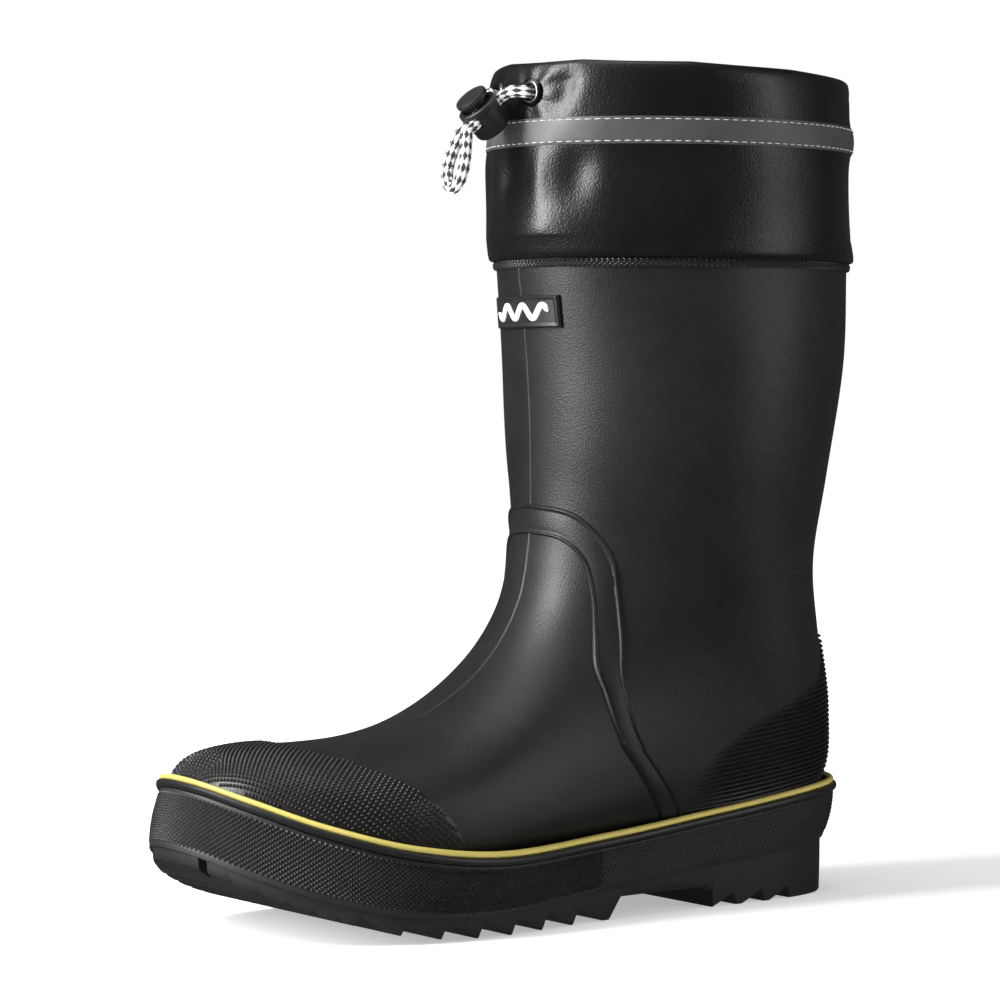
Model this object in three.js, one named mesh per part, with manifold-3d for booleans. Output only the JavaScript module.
// Deck boot: an insulated rubber boot for the left foot, with a drawcord collar.
// Millimetres, +Z up, toe towards -Y, the wearer's left towards +X.
// The origin lies on the ground, under the middle of the boot's own box.
import * as THREE from 'three';
import { LoftGeometry } from 'three/addons/geometries/LoftGeometry.js';
import { mergeVertices } from 'three/addons/utils/BufferGeometryUtils.js';
import Module from 'manifold-3d';

const wasm = await Module();
wasm.setup();

// ---------------------------------------------------------------- driving dimensions

const soleLength = 287.5;      // heel to toe over the welt lip
const soleWidth = 113;         // across the ball over the welt lip
const shaftHeight = 242.5;     // ground to the visible top edge of the moulded shaft
const collarHeight = 73;       // visible height of the collar above the shaft
const collarRearDrop = 4;      // how much lower the collar's rim is at the back

const fitGap = 0.3;            // clearance between pieces that touch
const liningGap = 0.9;         // slack between the lining and the shell
const shellWall = 3;           // rubber shell
const liningThickness = 2;     // boot lining
const shellTuck = 10;          // shell that stands inside the collar

const weltWidth = 4.3;         // lip that stands out from the upper
const lipThickness = 3.4;      // height of the welt lip's edge
const lipOverhang = 2;         // lip that stands out past the rand's top edge
const pipingDiameter = 2.6;    // yellow accent piping
const waistStart = 78;         // heel breast, measured from the back of the heel
const waistEnd = 106;          // start of the forefoot tread
const waistClearance = 8;      // height of the waist above the ground
const lugPitch = 10.6;         // forefoot saw-tooth spacing
const lugDepth = 4.2;          // depth of a saw-tooth notch
const heelNotches = 3;         // saw-tooth notches under the back of the heel

const skinRise = 1.2;          // thickness of the toe, heel and instep overlays
const bindingHeight = 4;       // knurled binding at the top of the shaft

const insoleThickness = 2;     // insole board
const footbedThickness = 5;    // removable footbed
const shankLength = 76;        // shank in the waist of the sole
const shankWidth = 18;
const shankThickness = 1.6;

const badgeLength = 37;        // along the shaft's front
const badgeHeight = 12;
const badgeThickness = 1.6;
const badgeDrop = 19.5;        // shaft's top edge to the badge's middle
const emblemRise = 0.8;        // raised wave line on the badge
const emblemMargin = 4;        // badge left free at each end of the line
const waveHeight = 4.8;        // trough to crest, along the line's middle
const waveCount = 3;
const waveWidth = 2.2;

const collarLeather = 2.2;     // collar panel thickness
const collarLiningThickness = 1.2;
const tapeWidth = 10;          // reflective tape
const tapeThickness = 0.5;
const tapeDrop = 26.5;         // collar rim to the tape's middle
const threadDiameter = 0.7;    // tape stitching
const threadInset = 1;         // stitching's distance from the tape's edge

const cordDiameter = 4;        // braided drawcord
const cordDrop = 11.5;         // collar rim to the cord channel's middle
const eyeletSpacing = 21;      // between the two eyelets, across the front
const eyeletSlack = 0.5;       // room round the cord in an eyelet
const eyeletBarrelWall = 0.5;
const eyeletFlange = 10.4;     // outside diameter of the eyelet's face
const eyeletFace = 1.1;        // thickness of the face
const washerDiameter = 9.4;
const washerThickness = 0.5;
const washerSlack = 1;         // room for the leather's curve behind the washer

const lockDiameter = 14.6;     // cord lock body below its rim
const lockFlange = 15.6;       // its rim
const lockRise = 4.2;          // middle of the cords' slot to the rim's top
const lockDepth = 12.6;        // length of the body
const lockWall = 1.3;
const buttonDiameter = 12.8;   // cord lock button
const buttonThickness = 2;
const buttonTravel = 1.8;
const springWire = 0.45;
const springTurns = 2;
const springDiameter = 6.8;
const lockReach = 13.4;        // collar's front to the middle of the lock
const lockDrop = 8;            // eyelets' height down to the middle of the lock
const lockTilt = 43;           // button axis, leaning forward from upright, in degrees

const ringColumns = 36;        // facets round the collar
const bootColumns = 24;        // facets round the foot and the shaft
const soleColumns = 48;        // facets round the sole

// ---------------------------------------------------------------- small helpers

const rad = THREE.MathUtils.degToRad;

// A point is given by x (wearer's left), s (forward from the back of the heel) and height.
const at = (x, s, z) => new THREE.Vector3(x, -s, z);

// Smooth curve through stations: cubic pieces whose slopes come from the neighbours.
function smooth(xs, ys, x) {
  const last = xs.length - 1;
  const slope = (i) => {
    const a = Math.max(i - 1, 0);
    const b = Math.min(i + 1, last);
    return (ys[b] - ys[a]) / (xs[b] - xs[a]);
  };
  let i = 0;
  while (i < last - 1 && x > xs[i + 1]) i += 1;
  const h = xs[i + 1] - xs[i];
  const t = (x - xs[i]) / h;
  const t2 = t * t;
  const t3 = t2 * t;
  return (2 * t3 - 3 * t2 + 1) * ys[i] + (t3 - 2 * t2 + t) * h * slope(i)
    + (3 * t2 - 2 * t3) * ys[i + 1] + (t3 - t2) * h * slope(i + 1);
}

// Welds a geometry into a closed body, drops empty facets and points its faces outwards.
function weld(geometry) {
  const bare = new THREE.BufferGeometry().copy(geometry);
  bare.deleteAttribute('normal');
  bare.deleteAttribute('uv');
  const merged = mergeVertices(bare, 1e-3);
  const p = merged.attributes.position.array;
  const index = merged.index.array;
  const kept = [];
  let volume = 0;
  for (let i = 0; i < index.length; i += 3) {
    const [a, b, c] = [index[i], index[i + 1], index[i + 2]];
    if (a === b || b === c || c === a) continue;
    kept.push(a, b, c);
    const [ax, ay, az] = p.slice(3 * a, 3 * a + 3);
    const [bx, by, bz] = p.slice(3 * b, 3 * b + 3);
    const [cx, cy, cz] = p.slice(3 * c, 3 * c + 3);
    volume += ax * (by * cz - bz * cy) + ay * (bz * cx - bx * cz) + az * (bx * cy - by * cx);
  }
  if (volume < 0) kept.reverse();
  merged.setIndex(kept);
  return merged;
}

function toSolid(geometry) {
  const body = weld(geometry);
  return new wasm.Manifold(new wasm.Mesh({
    numProp: 3,
    vertProperties: Float32Array.from(body.attributes.position.array),
    triVerts: Uint32Array.from(body.index.array),
  }));
}

function toGeometry(solid) {
  const mesh = solid.getMesh();
  const geometry = new THREE.BufferGeometry();
  geometry.setAttribute('position', new THREE.BufferAttribute(mesh.vertProperties, 3));
  geometry.setIndex(new THREE.BufferAttribute(mesh.triVerts, 1));
  return geometry;
}

// Closed loft through sections that come back to the first one, as a ring does.
const ringLoft = (sections) => weld(new LoftGeometry([...sections, sections[0]]));

// Loft whose two ends are drawn together to the middle of their last sections.
function closedLoft(sections) {
  const gather = (section) => {
    const middle = new THREE.Vector3();
    for (const p of section) middle.addScaledVector(p, 1 / section.length);
    return section.map(() => middle.clone());
  };
  return weld(new LoftGeometry([gather(sections[0]), ...sections, gather(sections.at(-1))]));
}

// Prism across the boot from an outline given as [s, height] pairs.
function crossPrism(outline, halfWidth) {
  const shape = new THREE.Shape(outline.map(([s, z]) => new THREE.Vector2(-s, z)));
  const prism = new THREE.ExtrudeGeometry(shape, { depth: 2 * halfWidth, bevelEnabled: false });
  prism.applyMatrix4(new THREE.Matrix4().makeBasis(
    new THREE.Vector3(0, 1, 0), new THREE.Vector3(0, 0, 1), new THREE.Vector3(1, 0, 0)));
  prism.translate(-halfWidth, 0, 0);
  return prism;
}

function tube(curve, diameter, steps, sides) {
  const circle = new THREE.Shape();
  circle.absarc(0, 0, diameter / 2, 0, 2 * Math.PI);
  const section = new THREE.Shape(circle.getPoints(sides).slice(0, sides));
  return weld(new THREE.ExtrudeGeometry(section, { steps, extrudePath: curve }));
}

const boot = new THREE.Group();

function add(name, geometry, color, roughness, metalness = 0) {
  const material = new THREE.MeshStandardMaterial({ color, roughness, metalness });
  const mesh = new THREE.Mesh(geometry, material);
  mesh.name = name;
  boot.add(mesh);
  return mesh;
}

const rubberBlack = 0x1b1b1c;
const leatherBlack = 0x141314;

// ---------------------------------------------------------------- form of foot and shaft

// Each station is a plane that swings from upright at the toe to level at the shaft:
// front point and back point (percent of sole length, percent of shaft height), half width
// (percent of half the sole width), place of the widest point, and power of the oval.
const stations = [
  [98.5, 21.2, 98.5, 20.8, 0, 0.35, 2.0],
  [97.9, 24.6, 97.9, 18.8, 25, 0.35, 2.1],
  [96.2, 26.6, 96.2, 16.7, 43, 0.35, 2.2],
  [93.2, 27.7, 93.2, 13.9, 59, 0.35, 2.3],
  [87.7, 28.2, 87.7, 10.7, 76.5, 0.35, 2.3],
  [80.7, 27.9, 80.7, 8.2, 88, 0.35, 2.3],
  [73.0, 28.3, 73.0, 7.0, 91.5, 0.35, 2.3],
  [66.1, 30.1, 65.4, 7.0, 90, 0.35, 2.3],
  [60.5, 33.3, 55.7, 7.4, 84, 0.36, 2.3],
  [55.6, 37.5, 43.5, 8.2, 79, 0.38, 2.4],
  [51.8, 42.5, 29.6, 9.0, 77, 0.40, 2.4],
  [49.0, 48.5, 13.9, 10.2, 78, 0.42, 2.4],
  [47.7, 54.9, 3.8, 16.4, 81, 0.45, 2.3],
  [47.3, 60.2, 2.2, 27.0, 86, 0.47, 2.1],
  [47.2, 65.6, 3.6, 38.9, 92, 0.50, 2.0],
  [47.3, 71.7, 5.1, 51.2, 97.5, 0.50, 2.0],
  [47.5, 77.9, 3.1, 65.6, 102.5, 0.50, 2.0],
  [48.0, 86.9, 0.1, 84.0, 104.5, 0.50, 2.0],
  [49.2, 100, -0.9, 100, 101, 0.50, 2.0],
];
const stationNumbers = stations.map((_, i) => i);
const topStation = stations.length - 1;
const toeStations = 4;          // stations over which an offset also moves the toe's tip
const toeTwist = [-5, -5, -5, -4.5, -3, -1, 0.5, 1, 1];   // toe leans to the inside, mm

const column = (j, v) => smooth(stationNumbers, stations.map((row) => row[j]), v);

function sideShift(v) {
  const last = toeTwist.length - 1;
  return smooth([...toeTwist.keys(), last + 4], [...toeTwist, 0], Math.min(v, last + 4));
}

// Point of the form at station v and angle theta from the front, moved inwards by inset.
function formPoint(v, theta, inset) {
  const [frontS, backS] = [column(0, v), column(2, v)].map((p) => p * soleLength / 100);
  const [frontZ, backZ] = [column(1, v), column(3, v)].map((p) => p * shaftHeight / 100);
  const width = column(4, v) * soleWidth / 200;
  const [middle, power] = [column(5, v), column(6, v)];
  const span = Math.hypot(frontS - backS, frontZ - backZ);
  const [dirS, dirZ] = [(frontS - backS) / span, (frontZ - backZ) / span];
  const [c, s] = [Math.cos(theta), Math.sin(theta)];
  const reach = c > 0 ? span * (1 - middle) - inset : span * middle - inset;
  const along = span * middle + reach * Math.sign(c) * Math.abs(c) ** (2 / power);
  const across = (width - inset) * Math.sign(s) * Math.abs(s) ** (2 / power);
  const tipMove = inset * Math.max(0, 1 - v / toeStations) ** 2;
  return at(across + sideShift(v), backS + dirS * along - tipMove, backZ + dirZ * along);
}

const formRing = (v, inset, lift = 0) => Array.from({ length: bootColumns }, (_, i) => {
  const p = formPoint(v, 2 * Math.PI * i / bootColumns, inset);
  p.z += lift;
  return p;
});

// Point of the shaft's uppermost stretch at a height above the ground.
const topSpan = 0.145;          // share of the shaft between its last two stations
function levelPoint(z, theta, inset) {
  const p = formPoint(topStation + Math.min(0, z / shaftHeight - 1) / topSpan, theta, inset);
  p.z = z;
  return p;
}

const rows = [0.05, 0.5, 1.1, 1.8, 2.6, 3.5, 4.6, 6, 7.2, 8.3, 9.3, 10.3, 11.2, 12, 12.8, 13.8,
  15, 16.5, topStation];
const firstRow = (inset) => rows.findIndex((v) => {
  const span = (column(1, v) - column(3, v)) * shaftHeight / 100;
  const width = column(4, v) * soleWidth / 200;
  return inset <= 0 || (0.35 * span - inset > 1 && width - inset > 2);
});

// Rings of the form at one inset, from the toe up to the top edge and lift above it.
function formRings(inset, lift) {
  const rings = rows.slice(firstRow(inset)).map((v) => formRing(v, inset));
  if (lift > 0) rings.push(formRing(topStation, inset, lift));
  return rings;
}

// Solid that fills the form at one inset.
const filled = (inset, lift = shellTuck) => toSolid(closedLoft(formRings(inset, lift)));

// Bag with an even wall, open at the top.
function bag(inset, wall, lift = shellTuck) {
  const outside = formRings(inset, lift);
  const inside = formRings(inset + wall, lift).reverse();
  return closedLoft([...outside, ...inside]);
}

// ---------------------------------------------------------------- sole outline and heights

// Half widths (percent of half the sole width) along the sole, for the outer and inner side,
// and the middle line's shift towards the inside. They multiply a half circle's height.
const soleMarks = [0, 0.1, 0.22, 0.35, 0.5, 0.65, 0.78, 0.9, 1];
const outerSide = [142, 110, 89, 81, 86, 108, 126, 139, 145];
const innerSide = [135, 101, 80, 69, 78, 101, 115, 124, 126];
const middleLine = [0, 0, 0, 0, 0, -1.8, -5.3, -11.5, -15];

// Heights along the sole, in percent of the shaft's height: lip, rand's bottom edge and tread.
const heightMarks = [-0.07, 0, 0.1, 0.27, 0.44, 0.635, 0.77, 0.875, 0.95, 1, 1.06];
const lipHeights = [17.5, 17.1, 16.5, 14.6, 12.6, 11.6, 13.4, 16.9, 20.8, 23.9, 26.4];
const randHeights = [9.1, 8.2, 7.4, 6.4, 5.2, 3.9, 5.4, 8.5, 12, 15.3, 18.1];
const treadHeights = [0, 0, 0, 0, 0, 0, 1, 4.2, 8, 11.5, 14.4];
const heightAt = (table, s) => smooth(heightMarks, table, s / soleLength) * shaftHeight / 100;

const half = soleWidth / 200;

function outlinePoint(psi) {
  const mark = (1 - Math.cos(psi)) / 2;
  const side = psi <= Math.PI ? outerSide : innerSide;
  const x = half * (smooth(soleMarks, middleLine, mark)
    + Math.sin(psi) * smooth(soleMarks, side, mark));
  return new THREE.Vector2(x, mark * soleLength);
}

// Outline moved outwards by an offset, in plan.
function offsetPoint(psi, offset) {
  const step = 0.01;
  const before = outlinePoint((psi - step + 2 * Math.PI) % (2 * Math.PI));
  const after = outlinePoint((psi + step) % (2 * Math.PI));
  const along = after.sub(before).normalize();
  return outlinePoint(psi).add(new THREE.Vector2(along.y, -along.x).multiplyScalar(offset));
}

const psis = Array.from({ length: soleColumns }, (_, i) => 2 * Math.PI * i / soleColumns);

// Ring of the sole: offset from the outline, height by a function of s.
const soleRing = (offset, height) => psis.map((psi) => {
  const p = offsetPoint(psi, typeof offset === 'function' ? offset(psi) : offset);
  return at(p.x, p.y, height(p.y));
});

// Ring folded onto the sole's middle line, which closes a face without a cap.
function spineRing(offset, height) {
  const edge = soleRing(offset, height);
  return edge.map((p, i) => {
    const twin = edge[(soleColumns - i) % soleColumns];
    const s = -(p.y + twin.y) / 2;
    return at(half * smooth(soleMarks, middleLine, s / soleLength), s, height(s));
  });
}

// Plate between two heights, with its own edge offset at the bottom and at the top.
const solePlate = (bottomOffset, bottom, topOffset, top) => weld(new LoftGeometry([
  spineRing(bottomOffset, bottom), soleRing(bottomOffset, bottom),
  soleRing(topOffset, top), spineRing(topOffset, top)]));

const lipTop = (s) => heightAt(lipHeights, s);
const lipBottom = (s) => lipTop(s) - lipThickness;
const randTop = (s) => lipBottom(s) - fitGap;
const randBottom = (s) => heightAt(randHeights, s);
const outsoleTop = (s) => randBottom(s) - fitGap;
const treadBottom = (s) => Math.max(0, heightAt(treadHeights, s));

// The rand leans in towards the ground at the heel and out at the toe.
const randFoot = (psi) => smooth([0, 0.3, 0.6, 0.85, 1], [-5.5, -3.6, -2.4, -1, 0],
  (1 - Math.cos(psi)) / 2);
const outsoleEdge = (psi) => randFoot(psi) - 1.2;

const cutForUpper = filled(-fitGap);

// ---------------------------------------------------------------- sole pieces

// Rand: the sole's wall and the bed that the foot of the shell is moulded into.
const rand = toSolid(solePlate(randFoot, randBottom, -lipOverhang, randTop));

// Outsole: plate from the tread to the rand, with a raised waist and saw-tooth lugs.
function sawTooth(s, height, depth, pitch) {
  return crossPrism([[s, height - 2], [s, height + depth], [s + pitch * 0.75, height - 2]],
    soleWidth);
}

function outsole() {
  let body = toSolid(solePlate((psi) => outsoleEdge(psi) - 0.5, treadBottom, outsoleEdge,
    (s) => randBottom(s) + 1)).subtract(rand.translate([0, 0, -fitGap]));
  const cuts = [crossPrism([[waistStart, -5], [waistStart, waistClearance - 2],
    [waistStart + 3, waistClearance], [waistEnd - 4, waistClearance], [waistEnd, -5]],
  soleWidth)];
  for (let s = waistEnd + lugPitch; s < soleLength - lugPitch; s += lugPitch) {
    const depth = Math.min(lugDepth, outsoleTop(s) - treadBottom(s) - 4);
    cuts.push(sawTooth(s, treadBottom(s), depth, lugPitch));
  }
  for (let i = 0; i < heelNotches; i += 1) {
    cuts.push(sawTooth(8 + i * (lugPitch + 1), 0, lugDepth, lugPitch));
  }
  const pocket = new THREE.BoxGeometry(shankWidth + 2 * fitGap, shankLength + 2 * fitGap,
    40);
  pocket.translate(0, -shankMiddle, shankSeat + 20);
  cuts.push(pocket);
  for (const cut of cuts) body = body.subtract(toSolid(cut));
  return toGeometry(body);
}

// Shank: a flat bar that lies in a pocket in the outsole's waist.
const shankMiddle = waistStart + 12;
const shankSeat = Math.min(outsoleTop(shankMiddle - shankLength / 2),
  outsoleTop(shankMiddle + shankLength / 2)) - shankThickness - 0.4;
const shank = new THREE.BoxGeometry(shankWidth, shankLength, shankThickness);
shank.translate(0, -shankMiddle, shankSeat + fitGap + shankThickness / 2);

add('outsole', outsole(), rubberBlack, 0.75);
add('sole_rand', toGeometry(rand.subtract(cutForUpper)), rubberBlack, 0.8);
add('shank', shank, 0x8a8d90, 0.45, 0.9);

// Welt lip: a ledge round the upper, and the yellow piping that lies on it.
const lipInside = -3 * weltWidth;
const lip = ringLoft([
  soleRing(lipInside, lipBottom),
  soleRing(-0.6, lipBottom),
  soleRing(0, (s) => lipBottom(s) + 0.8),
  soleRing(0, (s) => lipTop(s) - 0.8),
  soleRing(-0.6, lipTop),
  soleRing(lipInside, lipTop),
]);
add('welt_lip', toGeometry(toSolid(lip).subtract(cutForUpper)), rubberBlack, 0.6);

const pipingSides = 6;
const pipingMiddle = -1.2 - pipingDiameter / 2;
const piping = ringLoft(Array.from({ length: pipingSides }, (_, i) => {
  const a = 2 * Math.PI * (i + 0.5) / pipingSides;
  const r = pipingDiameter / 2;
  return soleRing(pipingMiddle + r * Math.cos(a),
    (s) => lipTop(s) + fitGap + r * (1 + Math.sin(a)));
}));
add('accent_piping', toGeometry(toSolid(piping).subtract(cutForUpper)), 0xd9c877, 0.55);

// ---------------------------------------------------------------- upper

add('upper_shell', bag(0, shellWall), 0x1e1e20, 0.55);

const liningInset = shellWall + liningGap;
add('boot_lining', bag(liningInset, liningThickness), 0x6d6f72, 0.95);

// Overlays: a skin round the form, kept inside a side view outline.
const skin = filled(-fitGap - skinRise).subtract(cutForUpper);
const onForm = (s, z) => [s * soleLength / 100, z * shaftHeight / 100];
const overlay = (outline, lowest) => toGeometry(skin
  .intersect(toSolid(crossPrism(outline, soleWidth))).subtract(toSolid(lowest)));

// What the lip and the piping take up, so that the overlays end just above them.
const belowOverlays = solePlate(weltWidth, (s) => treadBottom(s) - 20, weltWidth,
  (s) => lipTop(s) + pipingDiameter + 2 * fitGap);

const toeEdge = [[110, 40], [110, -10], [69, -10], [71, 13], [74.6, 20], [80, 25],
  [85, 29.5], [88, 40]];
add('toe_bumper', overlay(toeEdge.map(([s, z]) => onForm(s, z)), belowOverlays), 0x19191a, 0.7);

const heelEdge = [[-6, 44], [4.5, 42.5], [9.5, 39.2], [16.8, 31.8], [25.2, 25.5],
  [29.8, 20.5], [30, 12], [29, -10], [-6, -10]];
add('heel_guard', overlay(heelEdge.map(([s, z]) => onForm(s, z)), belowOverlays), 0x19191a, 0.7);

const instepOutside = [[30, -5], [31, 12], [33.9, 18], [38.2, 25.5], [42.1, 38.7], [42.6, 46],
  [41.9, 51], [42.8, 56.3], [45.2, 60.7], [47, 62.3], [60, 62.5]];
const instepInside = [[60, 58], [47.5, 57.9], [46.1, 56.8], [44.8, 53.1], [45.3, 47.2],
  [46.3, 38.4], [45, 28.9], [42.1, 23.9], [37.8, 17.1], [35.5, 12], [35, -5]];
add('instep_band', overlay([...instepOutside, ...instepInside].map(([s, z]) => onForm(s, z)),
  belowOverlays), 0x1c1c1e, 0.5);

// Knurled binding round the top of the shaft.
const topRing = (inset, z) => Array.from({ length: ringColumns },
  (_, i) => levelPoint(z, 2 * Math.PI * i / ringColumns, inset));
const bindingOut = -fitGap - 0.25 - skinRise;
add('shaft_top_binding', ringLoft([
  topRing(-fitGap - 0.25, shaftHeight - bindingHeight - fitGap),
  topRing(bindingOut, shaftHeight - bindingHeight - fitGap),
  topRing(bindingOut, shaftHeight - fitGap),
  topRing(-fitGap - 0.25, shaftHeight - fitGap),
]), 0x1a1a1b, 0.8);

// ---------------------------------------------------------------- insole and footbed

// What lies in the bottom of the lining between two heights above the lining's floor.
const liningInside = liningInset + liningThickness + fitGap;
function floorLayer(inset, low, high) {
  const floorMarks = [0, 0.035, 0.139, 0.296, 0.435, 0.557, 0.654, 0.73, 0.807, 0.877, 0.932, 1];
  const floorHeights = [16, 11.5, 10.2, 9, 8.2, 7.4, 7, 7, 8.2, 10.7, 13.9, 19];
  const floor = (s) => smooth(floorMarks, floorHeights, s / soleLength) * shaftHeight / 100
    + liningInside;
  const layer = solePlate(0, (s) => floor(s) + low, 0, (s) => floor(s) + high);
  return toGeometry(filled(inset, 0).intersect(toSolid(layer)));
}
add('insole_board', floorLayer(liningInside + 0.5, 1.2, 1.2 + insoleThickness), 0xb9a582, 0.9);
add('footbed', floorLayer(liningInside + 0.5, 1.2 + insoleThickness + fitGap,
  1.2 + insoleThickness + fitGap + footbedThickness), 0x3b3f45, 0.95);

// ---------------------------------------------------------------- badge on the shaft's front

// Strip that lies on the shaft's front: its middle's height is a function of the way along it.
function strip(halfLength, steps, middle, height, inner, outer) {
  const sections = Array.from({ length: steps + 1 }, (_, i) => {
    const arc = halfLength * (2 * i / steps - 1);
    const [low, high] = [middle(arc) - height / 2, middle(arc) + height / 2];
    return [[inner, low], [outer, low], [outer, high], [inner, high]].map(([inset, z]) => levelPoint(
      z, arc / (column(4, topStation) * soleWidth / 200), inset));
  });
  return closedLoft(sections);
}
const badgeMiddle = shaftHeight - badgeDrop;
const badgeSeat = -fitGap - 0.1;
add('badge_plate', strip(badgeLength / 2, 8, () => badgeMiddle, badgeHeight,
  badgeSeat, badgeSeat - badgeThickness), 0x1a1a1b, 0.6);

// Emblem: one raised wave line along the badge.
const emblemSeat = badgeSeat - badgeThickness - fitGap;
const emblemHalf = badgeLength / 2 - emblemMargin;
const wave = (arc) => badgeMiddle + waveHeight / 2 * Math.sin(waveCount * Math.PI * arc / emblemHalf);
add('badge_emblem', strip(emblemHalf, 40, wave, waveWidth,
  emblemSeat, emblemSeat - emblemRise), 0xe8e8e4, 0.5);

// ---------------------------------------------------------------- collar

const rim = shaftHeight + collarHeight;
const cordHeight = rim - cordDrop;

// Ring round the collar: offset from the shaft's top section, height in front.
// Above the tape the rim falls towards the back.
const dropFrom = rim - tapeDrop + tapeWidth / 2;
function collarPoint(offset, z, theta) {
  const p = formPoint(topStation, theta, -offset);
  const back = (1 - Math.cos(theta)) / 2;
  const share = Math.max(0, (z - dropFrom) / (rim - dropFrom));
  p.z = z - collarRearDrop * back * share;
  return p;
}
const collarRing = (offset, z) => Array.from({ length: ringColumns },
  (_, i) => collarPoint(offset, z, 2 * Math.PI * i / ringColumns));

// Outer face of the collar panel: offset from the shaft at a height.
const faceShares = [0, 0.04, 0.27, 0.53, 0.76, 0.89, 0.965, 1];
const faceOffsets = [2.3, 3, 3, 2.9, 2.6, 2.2, 1.2, -0.4];
const faceAt = (z) => smooth(faceShares, faceOffsets, (z - shaftHeight) / collarHeight);

const panelOutside = [0.017, 0.086, 0.27, 0.53, 0.76, 0.89, 0.94, 0.98].map((share) => {
  const z = shaftHeight + share * collarHeight;
  return [faceAt(z), z];
});
const shellClearance = 0.45;    // between the shell's tucked edge and the leather
const insideFace = panelOutside.slice(0, -1).reverse()
  .map(([offset, z]) => [Math.max(offset - collarLeather, shellClearance), z])
  .map(([offset, z], i, face) => (z > shaftHeight + 2 * shellTuck
    ? [panelOutside[face.length - 1 - i][0] - collarLeather, z] : [offset, z]));
const panelProfile = [
  [shellClearance, shaftHeight + 0.5], [1.4, shaftHeight], ...panelOutside, [-0.4, rim],
  [-2.2, rim - 0.6], [-2.6, rim - 2], ...insideFace];

const eyeletAngle = Math.asin(eyeletSpacing / 2 / (column(4, topStation) * soleWidth / 200
  + faceAt(cordHeight)));
function eyeletFrame(side) {
  const p = collarPoint(faceAt(cordHeight), cordHeight, side * eyeletAngle);
  const ahead = collarPoint(faceAt(cordHeight), cordHeight, side * eyeletAngle + 0.02);
  const along = ahead.sub(p).normalize();
  const out = new THREE.Vector3(along.y, -along.x, 0);
  if (out.y > 0) out.negate();
  return { p, out };
}

// Turns a lathe's axis, which is Y, to a direction and moves its foot to a point.
const lay = (geometry, direction, point) => geometry.clone()
  .applyQuaternion(new THREE.Quaternion().setFromUnitVectors(
    new THREE.Vector3(0, 1, 0), direction))
  .translate(point.x, point.y, point.z);

const lathe = (profile, sides) => new THREE.LatheGeometry(
  profile.map(([r, h]) => new THREE.Vector2(r, h)), sides);

const boreRadius = cordDiameter / 2 + eyeletSlack;
const barrelRadius = boreRadius + eyeletBarrelWall;
const washerBottom = -(collarLeather + washerSlack + washerThickness);
const barrelEnd = washerBottom - 0.2;
let collarPanel = toSolid(ringLoft(panelProfile.map(([offset, z]) => collarRing(offset, z))));
for (const side of [1, -1]) {
  const { p, out } = eyeletFrame(side);
  const cutter = toSolid(lay(lathe([[0, -4], [barrelRadius + fitGap, -4],
    [barrelRadius + fitGap, 3], [0, 3]], 16), out, p));
  collarPanel = collarPanel.subtract(cutter);
}
add('collar_panel', toGeometry(collarPanel), leatherBlack, 0.3);

// Lining of the collar: it follows the panel and stands off it round the cord's channel.
const channelMiddle = faceAt(cordHeight) + barrelEnd - fitGap - cordDiameter / 2;
const channelWall = channelMiddle - cordDiameter / 2 - fitGap;
const hug = (z) => faceAt(z) - collarLeather - fitGap - 0.15;
const liningBase = shaftHeight + shellTuck + 2.5;
const liningFace = [
  [hug(liningBase), liningBase],
  [hug(liningBase + 12), liningBase + 12],
  [hug(cordHeight - 16), cordHeight - 16],
  [hug(cordHeight - 8), cordHeight - 8],
  [channelWall + 1, cordHeight - cordDiameter / 2 - 2],
  [channelWall, cordHeight - cordDiameter / 2],
  [channelWall, cordHeight + cordDiameter / 2],
  [-3.1, rim - 3.4],
  [-3.1, rim - 2.2],
];
const liningBack = liningFace.map(([offset, z]) => [offset - collarLiningThickness, z]).reverse();
add('collar_lining', ringLoft([...liningFace, ...liningBack]
  .map(([offset, z]) => collarRing(offset, z))), 0x55575a, 0.95);

// Reflective tape, and a row of stitching near each of its edges.
const tapeMiddle = rim - tapeDrop;
const tapeAt = (z) => faceAt(z) + fitGap;
const tapeLow = tapeMiddle - tapeWidth / 2;
const tapeHigh = tapeMiddle + tapeWidth / 2;
add('reflective_tape', ringLoft([
  [tapeAt(tapeLow), tapeLow], [tapeAt(tapeLow) + tapeThickness, tapeLow],
  [tapeAt(tapeHigh) + tapeThickness, tapeHigh], [tapeAt(tapeHigh), tapeHigh]]
  .map(([offset, z]) => collarRing(offset, z))), 0x6f6f70, 0.5);

for (const [name, z] of [['tape_thread_upper', tapeHigh - threadInset],
  ['tape_thread_lower', tapeLow + threadInset]]) {
  const middle = tapeAt(z) + tapeThickness + fitGap + threadDiameter / 2;
  const sides = 4;
  add(name, ringLoft(Array.from({ length: sides }, (_, i) => {
    const a = 2 * Math.PI * i / sides;
    return collarRing(middle + threadDiameter / 2 * Math.cos(a),
      z + threadDiameter / 2 * Math.sin(a));
  })), 0xe9e9e6, 0.8);
}

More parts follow.
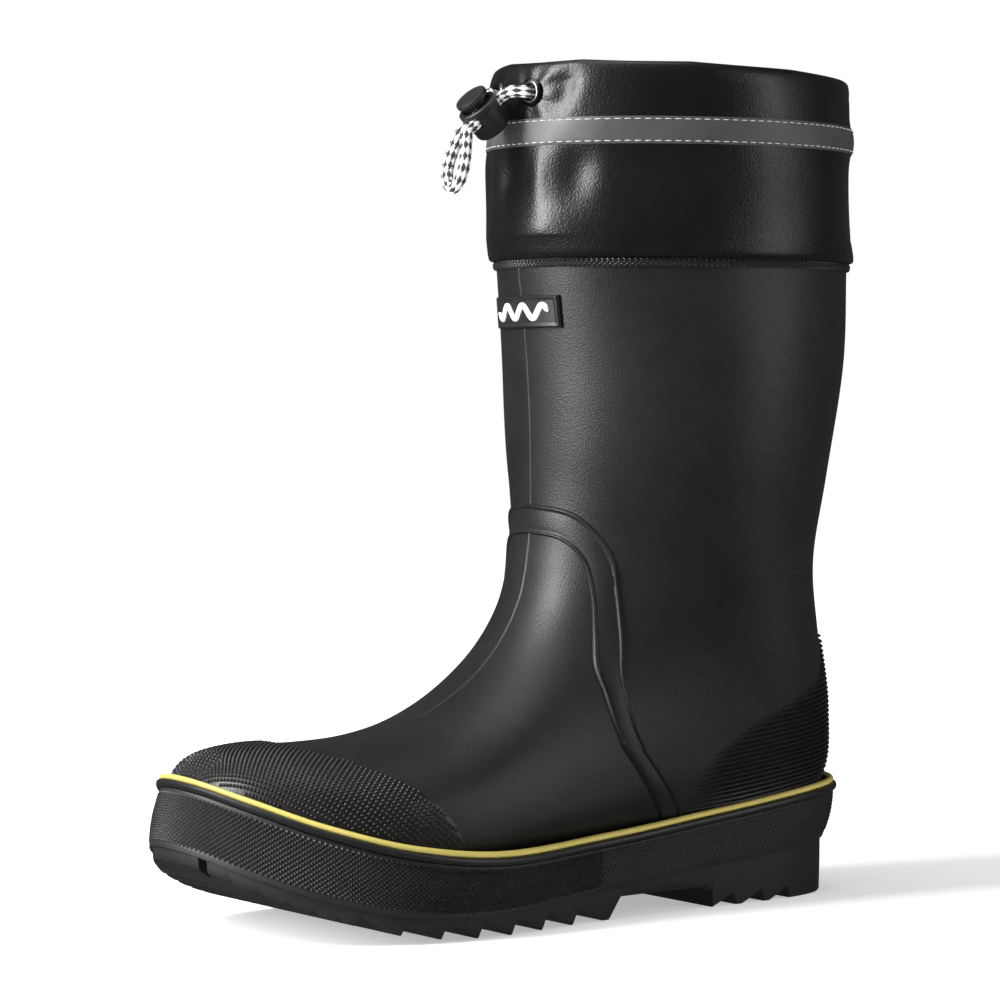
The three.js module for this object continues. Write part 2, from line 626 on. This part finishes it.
// Eyelets with their washers behind the leather.
const eyeletSeat = fitGap + 0.1;
const eyeletShape = weld(lathe([
  [boreRadius, barrelEnd], [barrelRadius, barrelEnd], [barrelRadius, eyeletSeat],
  [eyeletFlange / 2, eyeletSeat], [eyeletFlange / 2 - 0.3, eyeletSeat + 0.6 * eyeletFace],
  [(eyeletFlange / 2 + boreRadius) / 2, eyeletSeat + eyeletFace],
  [boreRadius, eyeletSeat + 0.5 * eyeletFace], [boreRadius, barrelEnd]], 16));
const washerShape = weld(lathe([
  [barrelRadius + 0.15, washerBottom], [washerDiameter / 2, washerBottom],
  [washerDiameter / 2, washerBottom + washerThickness],
  [barrelRadius + 0.15, washerBottom + washerThickness],
  [barrelRadius + 0.15, washerBottom]], 16));
for (const [name, side] of [['left', 1], ['right', -1]]) {
  const { p, out } = eyeletFrame(side);
  add(`eyelet_${name}`, lay(eyeletShape, out, p), 0x3a3c40, 0.3, 0.9);
  add(`eyelet_washer_${name}`, lay(washerShape, out, p), 0x3a3c40, 0.4, 0.9);
}

// ---------------------------------------------------------------- drawcord

// The run in the collar's channel, from one eyelet round the back to the other.
class HemCurve extends THREE.Curve {
  getPoint(t) {
    const start = eyeletAngle + 0.03;
    const theta = start + t * 2 * (Math.PI - start);
    return collarPoint(channelMiddle, cordHeight, theta);
  }
}
add('drawcord_hem_run', tube(new HemCurve(), cordDiameter, 36, 8), 0x2a2a2a, 0.9);

// Cord lock: its middle, the button's axis and the direction of the cords through it.
const collarFront = collarPoint(faceAt(cordHeight), cordHeight, 0);
const lockMiddle = new THREE.Vector3(0, collarFront.y - lockReach,
  cordHeight - lockDrop);
const buttonAxis = new THREE.Vector3(0, -Math.sin(rad(lockTilt)), Math.cos(rad(lockTilt)));
const cordAxis = new THREE.Vector3(0, -Math.cos(rad(lockTilt)), -Math.sin(rad(lockTilt)));
const strandOffset = cordDiameter / 2 + 0.15;

// Free part of the cord: out of one eyelet, through the lock, round the hanging loop and
// back to the other eyelet. Points of the left half; the right half is its mirror image.
const onStrand = (t) => lockMiddle.clone().addScaledVector(cordAxis, t)
  .setX(strandOffset);
const leftEyelet = eyeletFrame(1);
const outOfEyelet = (d) => leftEyelet.p.clone().addScaledVector(leftEyelet.out, d);
const fromLock = (x, forward, down) => new THREE.Vector3(
  x, lockMiddle.y - forward, lockMiddle.z - down);
const loopPoints = [
  outOfEyelet(-0.6),
  outOfEyelet(1.4),
  outOfEyelet(3.4).add(new THREE.Vector3(-0.8, 0, 0.2)),
  fromLock(7.6, -8.4, -8),
  fromLock(4.8, -7, -7.2),
  onStrand(-8), onStrand(-4), onStrand(0), onStrand(4), onStrand(8), onStrand(11),
  fromLock(3.5, 9.5, 11.4),
  fromLock(4.8, 10.7, 15.8),
  fromLock(5.4, 11.8, 20.3),
  fromLock(4.6, 12.6, 24.2),
  fromLock(2.6, 13, 26.9),
];
const loopEnd = fromLock(0, 13.1, 27.9);
const mirrored = loopPoints.map((p) => new THREE.Vector3(-p.x, p.y, p.z)).reverse();
const loopCurve = new THREE.CatmullRomCurve3([...loopPoints, loopEnd, ...mirrored]);
add('drawcord_loop', tube(loopCurve, cordDiameter, 48, 8), 0x2a2a2a, 0.9);

// ---------------------------------------------------------------- cord lock

const slotWidth = 2 * strandOffset + cordDiameter + 2 * fitGap;
const slotHeight = cordDiameter + 2 * fitGap;
const bodyBottom = lockRise - lockDepth;
const lockBore = lockDiameter / 2 - lockWall;
const stemRadius = lockBore - fitGap;
const stemBottom = -slotHeight / 2 - 1;

// In the lock's own frame Y is the button's axis, X is across and Z runs with the cords.
const lockPlace = new THREE.Matrix4().makeBasis(
  new THREE.Vector3(1, 0, 0), buttonAxis, cordAxis).setPosition(lockMiddle);

function slotCutter(low, high) {
  const cutter = new THREE.BoxGeometry(slotWidth, high - low, 2 * lockFlange);
  return cutter.translate(0, (low + high) / 2, 0);
}

const lockShell = lathe([
  [0, bodyBottom], [lockDiameter / 2 - 2.2, bodyBottom], [lockDiameter / 2 - 0.5, bodyBottom + 1.5],
  [lockDiameter / 2, lockRise - 2.2], [lockFlange / 2, lockRise - 1.7],
  [lockFlange / 2, lockRise - 0.4], [lockFlange / 2 - 0.4, lockRise], [lockBore, lockRise],
  [lockBore, bodyBottom + lockWall], [0, bodyBottom + lockWall]], 20);
const lockBody = toSolid(lockShell).subtract(toSolid(slotCutter(-slotHeight / 2, slotHeight / 2)));
add('cord_lock_body', toGeometry(lockBody).applyMatrix4(lockPlace), 0x161617, 0.5);

// Button: a disc on a stem whose slot leaves room for its travel.
const buttonFoot = lockRise + buttonTravel + fitGap;
const buttonTop = buttonFoot + buttonThickness;
const plungerShape = lathe([
  [0, stemBottom], [stemRadius, stemBottom], [stemRadius, lockRise - 0.4],
  [stemRadius - 1.6, lockRise], [stemRadius - 1.6, buttonFoot],
  [buttonDiameter / 2, buttonFoot], [buttonDiameter / 2, buttonTop - 0.8],
  [buttonDiameter / 2 - 0.8, buttonTop], [0, buttonTop]], 20);
const plunger = toSolid(plungerShape).subtract(
  toSolid(slotCutter(-slotHeight / 2, slotHeight / 2 + buttonTravel)));
add('cord_lock_button', toGeometry(plunger).applyMatrix4(lockPlace), 0x161617, 0.45);

// Spring between the button's stem and the floor of the lock.
const springFoot = bodyBottom + lockWall + fitGap + springWire / 2;
const springHead = stemBottom - fitGap - springWire / 2;
class SpringCurve extends THREE.Curve {
  getPoint(t) {
    const turn = 2 * Math.PI * springTurns * t;
    return new THREE.Vector3(springDiameter / 2 * Math.cos(turn),
      springFoot + (springHead - springFoot) * t, springDiameter / 2 * Math.sin(turn));
  }
}
add('cord_lock_spring', tube(new SpringCurve(), springWire, 36, 5).applyMatrix4(lockPlace),
  0xb8babd, 0.35, 0.95);

// ---------------------------------------------------------------- frame

// The free cord and the lock don't count for the boot's own box.
const freePieces = ['drawcord_loop', 'cord_lock_body', 'cord_lock_button', 'cord_lock_spring'];
const box = new THREE.Box3();
for (const mesh of boot.children) {
  if (!freePieces.includes(mesh.name)) box.expandByObject(mesh, true);
}
boot.position.set(-(box.min.x + box.max.x) / 2, -(box.min.y + box.max.y) / 2, -box.min.z);

export default boot;
